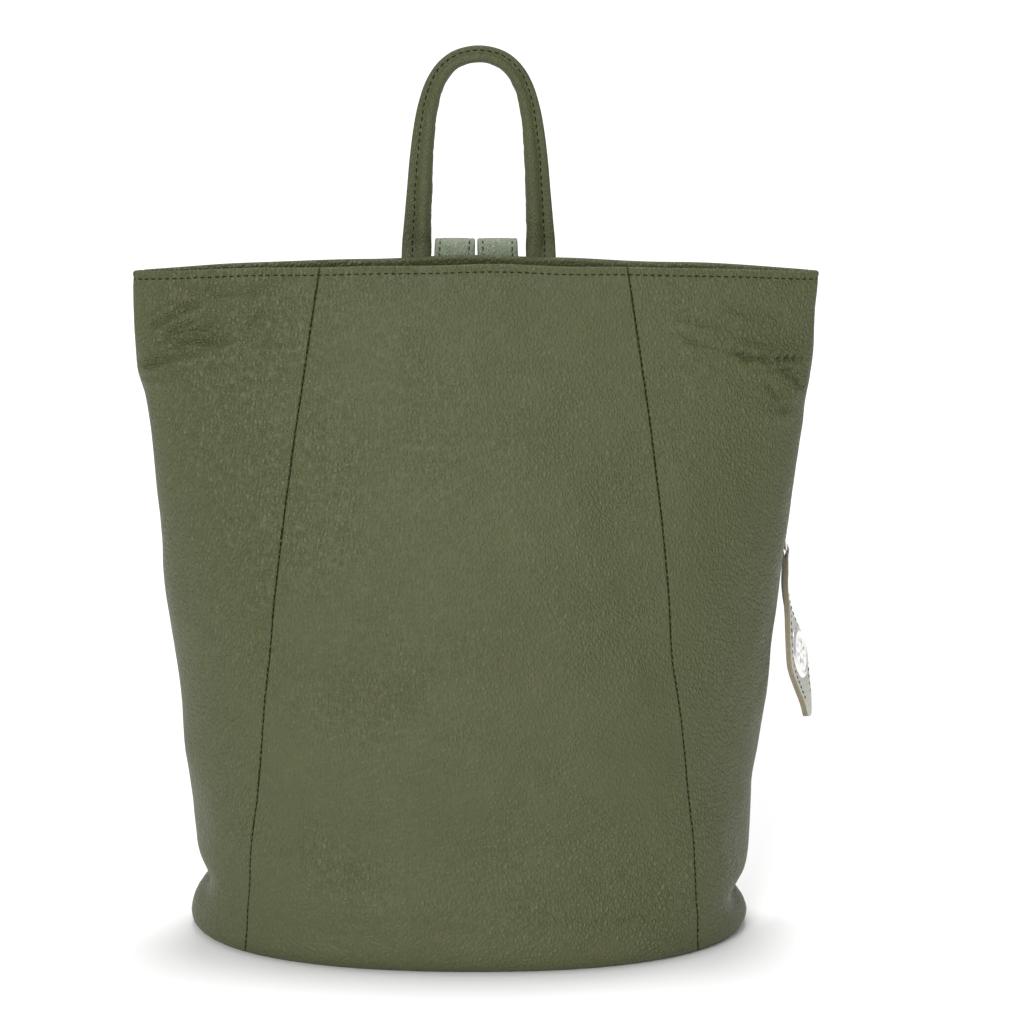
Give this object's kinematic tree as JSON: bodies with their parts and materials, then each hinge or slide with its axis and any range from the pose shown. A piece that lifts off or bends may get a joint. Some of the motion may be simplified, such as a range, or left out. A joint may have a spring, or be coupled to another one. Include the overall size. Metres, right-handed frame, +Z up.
{
  "type": "leather backpack",
  "caption": "Tapered soft leather backpack with a rolled top handle, recessed zipped mouth, buckled shoulder straps on the back and a side zip with a hanging leather tag.",
  "frame": {"origin": "centre of the base panel's underside, on the ground", "axes": "+Z up to the handle, +X to the right seen from the front, -Y the front of the bag, +Y the side against the wearer's back"},
  "size_m": [0.3524, 0.1628, 0.464],
  "materials": {
    "leather_shell": "pebbled",
    "leather_handle": "pebbled",
    "leather_strap": "pebbled",
    "leather_inner": "smooth",
    "leather_tag": "satin",
    "leather_base": "pebbled",
    "lining_cloth": "twill",
    "zip_tape": "woven",
    "zip_metal": "polished",
    "buckle_metal": "polished",
    "disc_metal": "satin",
    "board": "matte",
    "cord": "matte"
  },
  "bodies": {
    "bag": {"front_panel": "leather_shell", "left_side_panel": "leather_shell", "right_side_panel": "leather_shell", "back_panel": "leather_shell", "front_facing": "leather_inner", "back_facing": "leather_inner", "lining": "lining_cloth", "slip_pocket": "lining_cloth", "base_panel": "leather_base", "base_board": "board", "front_gusset": "leather_inner", "back_gusset": "leather_inner", "zip_end_tabs": "leather_inner", "side_zip_tapes": "zip_tape", "side_zip_teeth": "zip_metal", "strap_tails": "leather_strap", "handle_tails": "leather_handle", "anchor_patch": "leather_shell", "right_strap_tab": "leather_strap", "left_strap_tab": "leather_strap"},
    "handle": {"handle_sleeve": "leather_handle", "handle_core": "cord"},
    "front_flap": {"front_zip_tape": "zip_tape", "front_zip_teeth": "zip_metal"},
    "back_flap": {"back_zip_tape": "zip_tape", "back_zip_teeth": "zip_metal"},
    "top_slider": {"top_zip_slider": "zip_metal"},
    "top_pull": {"top_pull_link": "zip_metal", "top_pull_leather": "leather_strap"},
    "side_slider": {"side_zip_slider": "zip_metal"},
    "tag": {"tag_ring": "zip_metal", "tag_front_leather": "leather_tag", "tag_back_leather": "leather_tag", "tag_disc": "disc_metal", "tag_rivet": "disc_metal"},
    "right_strap": {"right_upper_strap": "leather_strap", "right_lower_strap": "leather_strap", "right_strap_keeper": "leather_strap", "right_buckle_frame": "buckle_metal"},
    "right_prong": {"right_buckle_prong": "buckle_metal"},
    "right_ring": {"right_strap_ring": "buckle_metal"},
    "left_strap": {"left_upper_strap": "leather_strap", "left_lower_strap": "leather_strap", "left_strap_keeper": "leather_strap", "left_buckle_frame": "buckle_metal"},
    "left_prong": {"left_buckle_prong": "buckle_metal"},
    "left_ring": {"left_strap_ring": "buckle_metal"}
  },
  "joints": [
    {"name": "handle_fold", "type": "hinge", "parent": "bag", "child": "handle", "pos_m": [0, 0.024, 0.354], "axis": [1, 0, 0], "range_deg": [-75, 45]},
    {"name": "back_flap_fold", "type": "hinge", "parent": "bag", "child": "back_flap", "pos_m": [0, 0.011, 0.3269], "axis": [1, 0, 0], "range_deg": [0, 80]},
    {"name": "front_flap_fold", "type": "hinge", "parent": "bag", "child": "front_flap", "pos_m": [0, -0.011, 0.3269], "axis": [1, 0, 0], "range_deg": [-80, 0]},
    {"name": "top_zip_slide", "type": "slide", "parent": "bag", "child": "top_slider", "axis": [-1, 0, 0], "range_m": [0, 0.224]},
    {"name": "top_pull_swing", "type": "hinge", "parent": "top_slider", "child": "top_pull", "pos_m": [0.112, 0, 0.3337], "axis": [0, -1, 0], "range_deg": [0, 165]},
    {"name": "side_zip_slide", "type": "slide", "parent": "bag", "child": "side_slider", "axis": [-0.1171, 0.0743, -0.9903], "range_m": [0, 0.095]},
    {"name": "tag_swing", "type": "hinge", "parent": "side_slider", "child": "tag", "pos_m": [0.16258, 0.01697, 0.20753], "axis": [0, -1, 0], "range_deg": [0, 100]},
    {"name": "right_strap_swing", "type": "hinge", "parent": "bag", "child": "right_strap", "pos_m": [0.0115, 0.027, 0.3555], "axis": [1, 0, 0], "range_deg": [0, 75]},
    {"name": "right_prong_swing", "type": "hinge", "parent": "right_strap", "child": "right_prong", "pos_m": [0.09034, 0.06924, 0.09822], "axis": [0.8868, -0.3547, 0.2964], "range_deg": [0, 80]},
    {"name": "right_ring_swing", "type": "hinge", "parent": "right_strap", "child": "right_ring", "pos_m": [0.10523, 0.06432, 0.0478], "axis": [0.8868, -0.3547, 0.2964], "range_deg": [0, 80]},
    {"name": "left_strap_swing", "type": "hinge", "parent": "bag", "child": "left_strap", "pos_m": [-0.0115, 0.027, 0.3555], "axis": [1, 0, 0], "range_deg": [0, 75]},
    {"name": "left_prong_swing", "type": "hinge", "parent": "left_strap", "child": "left_prong", "pos_m": [-0.09034, 0.06924, 0.09822], "axis": [0.8868, 0.3547, -0.2964], "range_deg": [0, 80]},
    {"name": "left_ring_swing", "type": "hinge", "parent": "left_strap", "child": "left_ring", "pos_m": [-0.10523, 0.06432, 0.0478], "axis": [0.8868, 0.3547, -0.2964], "range_deg": [0, 80]}
  ],
  "couplings": [
    {"joint": "front_flap_fold", "follows": "back_flap_fold", "ratio": -1}
  ]
}
